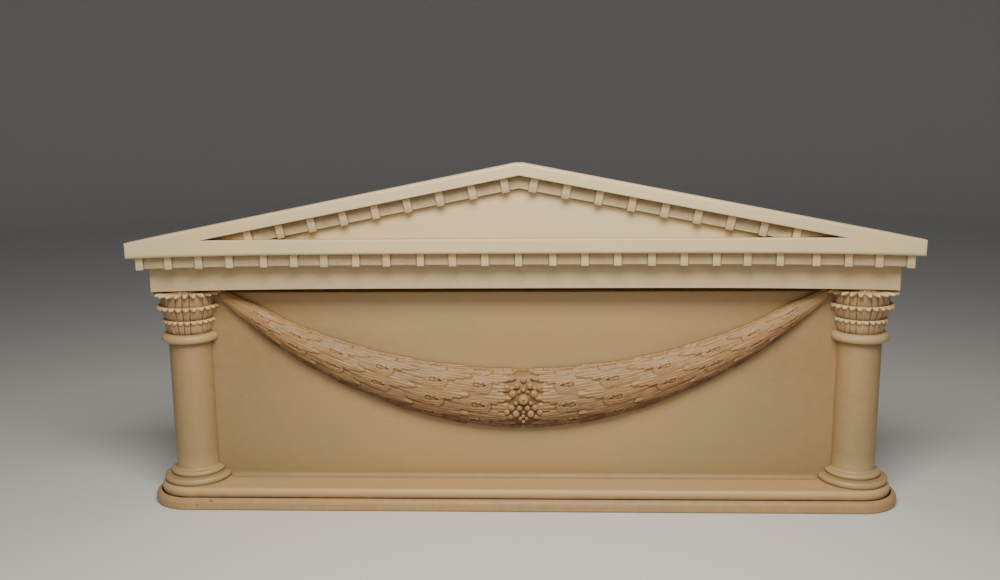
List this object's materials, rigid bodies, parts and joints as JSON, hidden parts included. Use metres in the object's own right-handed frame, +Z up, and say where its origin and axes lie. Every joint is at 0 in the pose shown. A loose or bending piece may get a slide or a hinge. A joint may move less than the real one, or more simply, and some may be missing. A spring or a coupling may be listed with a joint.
{
  "type": "door pediment",
  "caption": "Painted door pediment: a gabled dentil cornice on half-round leaf-capital columns over a panel with a leaf swag and berry cluster, made to fix on a wall above a door.",
  "frame": {"origin": "middle of the bounding box at the foot of the plinth, on the ground line", "axes": "+X to the right along the front, +Y back into the wall, +Z up"},
  "size_m": [1.3, 0.096, 0.5893],
  "materials": {
    "painted_timber": "old cream paint with a thin brown glaze left in the corners, satin",
    "painted_ornament": "old cream paint with brown glaze in the carving, satin"
  },
  "bodies": {
    "root": {"plinth_lower": "painted_timber", "plinth_upper": "painted_timber", "back_panel": "painted_timber", "column_left": "painted_timber", "column_right": "painted_timber", "capital_left": "painted_ornament", "capital_right": "painted_ornament", "frieze": "painted_timber", "dentil_strip": "painted_timber", "dentil_01": "painted_timber", "dentil_02": "painted_timber", "dentil_03": "painted_timber", "dentil_04": "painted_timber", "dentil_05": "painted_timber", "dentil_06": "painted_timber", "dentil_07": "painted_timber", "dentil_08": "painted_timber", "dentil_09": "painted_timber", "dentil_10": "painted_timber", "dentil_11": "painted_timber", "dentil_12": "painted_timber", "dentil_13": "painted_timber", "dentil_14": "painted_timber", "dentil_15": "painted_timber", "dentil_16": "painted_timber", "dentil_17": "painted_timber", "dentil_18": "painted_timber", "dentil_19": "painted_timber", "dentil_20": "painted_timber", "dentil_21": "painted_timber", "dentil_22": "painted_timber", "dentil_23": "painted_timber", "dentil_24": "painted_timber", "dentil_25": "painted_timber", "pediment_frame": "painted_timber", "tympanum": "painted_timber", "raking_strip": "painted_timber", "raking_dentil_left_1": "painted_timber", "raking_dentil_left_2": "painted_timber", "raking_dentil_left_3": "painted_timber", "raking_dentil_left_4": "painted_timber", "raking_dentil_left_5": "painted_timber", "raking_dentil_left_6": "painted_timber", "raking_dentil_left_7": "painted_timber", "raking_dentil_left_8": "painted_timber", "raking_dentil_left_9": "painted_timber", "raking_dentil_right_1": "painted_timber", "raking_dentil_right_2": "painted_timber", "raking_dentil_right_3": "painted_timber", "raking_dentil_right_4": "painted_timber", "raking_dentil_right_5": "painted_timber", "raking_dentil_right_6": "painted_timber", "raking_dentil_right_7": "painted_timber", "raking_dentil_right_8": "painted_timber", "raking_dentil_right_9": "painted_timber", "swag": "painted_ornament"}
  },
  "joints": []
}
